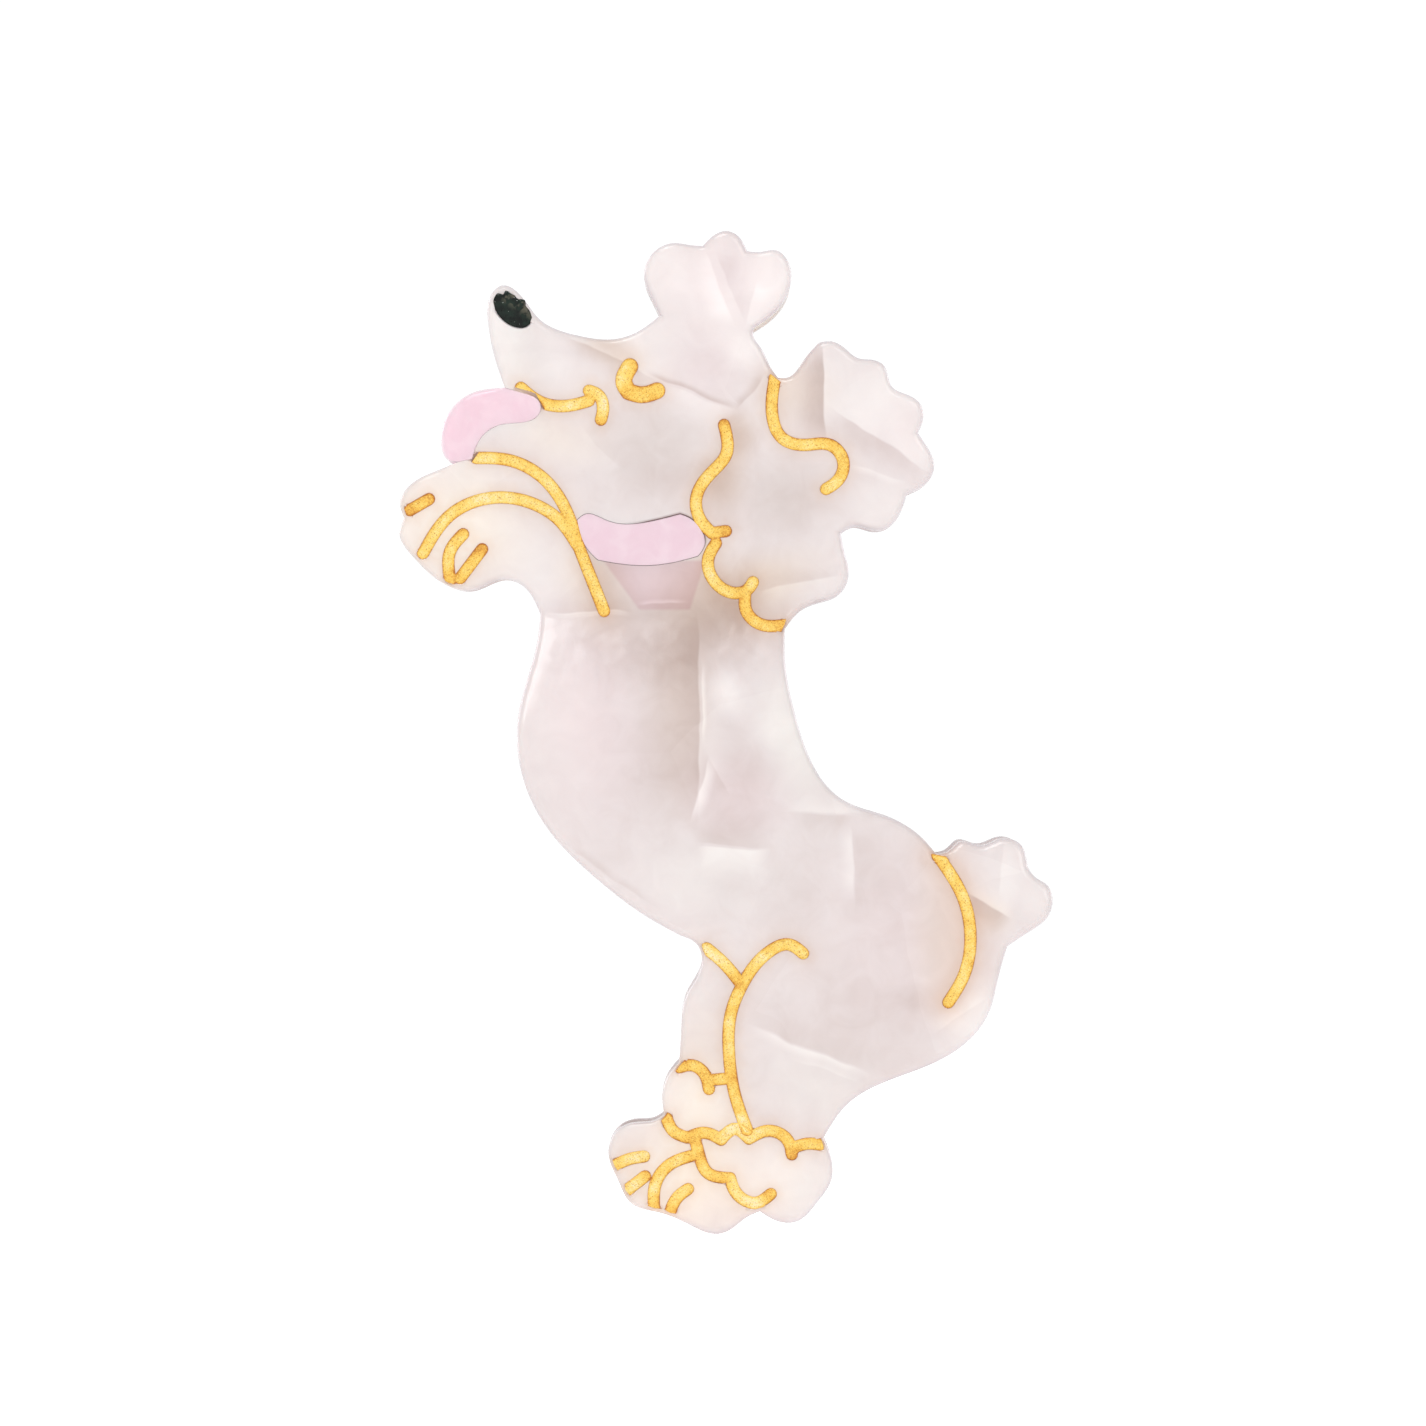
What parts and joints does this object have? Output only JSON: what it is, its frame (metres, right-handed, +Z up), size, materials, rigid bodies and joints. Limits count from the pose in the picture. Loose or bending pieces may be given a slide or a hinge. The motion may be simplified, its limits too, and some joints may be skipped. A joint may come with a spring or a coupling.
{
  "type": "hair claw clip",
  "caption": "Sprung hair claw with two mirrored dog-shaped acetate jaws, heads as finger grips, on a steel pin.",
  "frame": {"origin": "on the surface under the feet, at the middle of the object's box", "axes": "+Z up from feet to head, +X to the right as seen from the front jaw's outside, front jaw towards -Y"},
  "size_m": [0.0653, 0.0354, 0.1004],
  "materials": {
    "pearl_acetate": "polished pearl cellulose acetate with soft chips",
    "pink_acetate": "polished pale pink acetate",
    "lilac_acetate": "polished lilac acetate",
    "gold_paint": "speckled metallic gold paint in an engraved groove",
    "black_enamel": "glossy black-green enamel with fine glitter",
    "steel": "bright spring steel"
  },
  "bodies": {
    "rear_jaw_body": {"rear_jaw": "pearl_acetate", "rear_tongue_inlay": "pink_acetate", "rear_collar_inlay": "pink_acetate", "rear_nose_enamel": "black_enamel", "rear_gold_mouth": "gold_paint", "rear_gold_eye": "gold_paint", "rear_gold_ear": "gold_paint", "rear_gold_paw": "gold_paint", "rear_gold_tail": "gold_paint", "rear_gold_leg": "gold_paint", "rear_gold_foot": "gold_paint", "rear_hinge_pad": "lilac_acetate", "rear_hinge_lugs": "pearl_acetate", "rear_comb": "pearl_acetate", "hinge_pin": "steel", "pin_cap": "steel", "torsion_spring": "steel"},
    "front_jaw_body": {"front_jaw": "pearl_acetate", "front_tongue_inlay": "pink_acetate", "front_collar_inlay": "pink_acetate", "front_nose_enamel": "black_enamel", "front_gold_mouth": "gold_paint", "front_gold_eye": "gold_paint", "front_gold_ear": "gold_paint", "front_gold_paw": "gold_paint", "front_gold_tail": "gold_paint", "front_gold_leg": "gold_paint", "front_gold_foot": "gold_paint", "front_hinge_pad": "lilac_acetate", "front_hinge_lugs": "pearl_acetate", "front_comb": "pearl_acetate"}
  },
  "joints": [
    {"name": "jaw_hinge", "type": "hinge", "parent": "rear_jaw_body", "child": "front_jaw_body", "pos_m": [-0.0062, 0, 0.0624], "axis": [-1, 0, 0], "range_deg": [0, 38], "stiffness_Nm_per_rad": 0.12, "springref_deg": -34.38, "deforming": ["torsion_spring"]}
  ]
}
